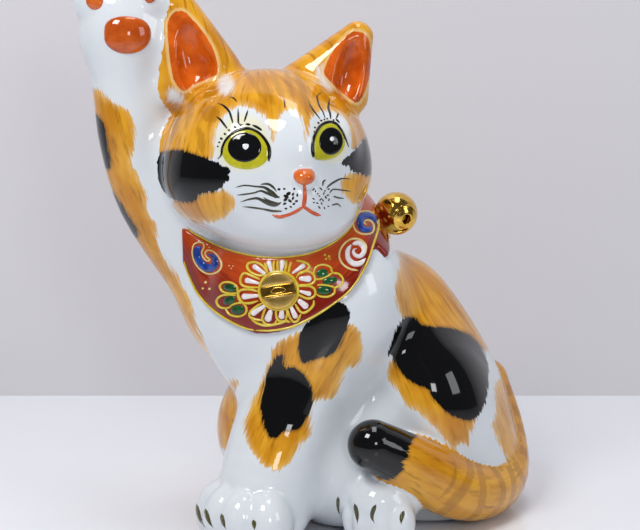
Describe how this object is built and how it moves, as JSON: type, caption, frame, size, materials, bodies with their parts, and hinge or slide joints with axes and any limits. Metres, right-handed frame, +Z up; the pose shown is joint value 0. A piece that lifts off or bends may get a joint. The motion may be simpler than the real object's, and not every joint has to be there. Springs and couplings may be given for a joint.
{
  "type": "beckoning cat figurine",
  "caption": "Seated calico cat figurine in glazed porcelain with one raised beckoning arm, an enamelled collar, a front bell disc and a gilded bell at the nape.",
  "frame": {"origin": "on the table plane, at the centre of the middle felt pad, under the belly and behind the foreleg", "axes": "+Z up, -Y the way the collar's front disc faces, -X towards the raised right arm, +X towards the tail and left haunch"},
  "size_m": [0.2161, 0.1544, 0.2635],
  "materials": {
    "porcelain_white": "clear feldspathic glaze over white porcelain, calico overglaze enamel patches",
    "enamel_orange": "glossy translucent orange overglaze enamel",
    "enamel_iron_red": "glossy iron-red overglaze enamel",
    "enamel_yellow": "raised trailed yellow enamel",
    "enamel_white": "raised opaque white enamel",
    "enamel_green": "raised translucent dark green enamel",
    "enamel_blue": "raised translucent cobalt blue enamel",
    "enamel_iris": "glossy yellow-green enamel",
    "enamel_black": "glossy black enamel",
    "gilding": "burnished fired gold over glaze",
    "felt": "dark green self-adhesive wool felt"
  },
  "bodies": {
    "root": {"body_shell": "porcelain_white", "collar": "enamel_iron_red", "enamel_blue_swirls": "enamel_blue", "enamel_border_lines": "enamel_yellow", "enamel_disc_ring": "enamel_yellow", "enamel_green_leaves": "enamel_green", "enamel_petal_outlines": "enamel_yellow", "enamel_white_petals": "enamel_white", "enamel_white_swirl": "enamel_white", "eye_irises": "enamel_iris", "eye_pupils": "enamel_black", "felt_pads": "felt", "foreleg": "porcelain_white", "front_bell_band": "gilding", "front_bell_disc": "gilding", "head_shell": "porcelain_white", "left_ear": "porcelain_white", "left_hind_paw": "porcelain_white", "nose": "enamel_orange", "palm_pad": "enamel_orange", "raised_arm": "porcelain_white", "rear_bell": "gilding", "rear_bell_back_plate": "gilding", "right_ear": "porcelain_white", "right_hind_paw": "porcelain_white", "tail": "porcelain_white", "toe_pads": "enamel_orange"}
  },
  "joints": []
}
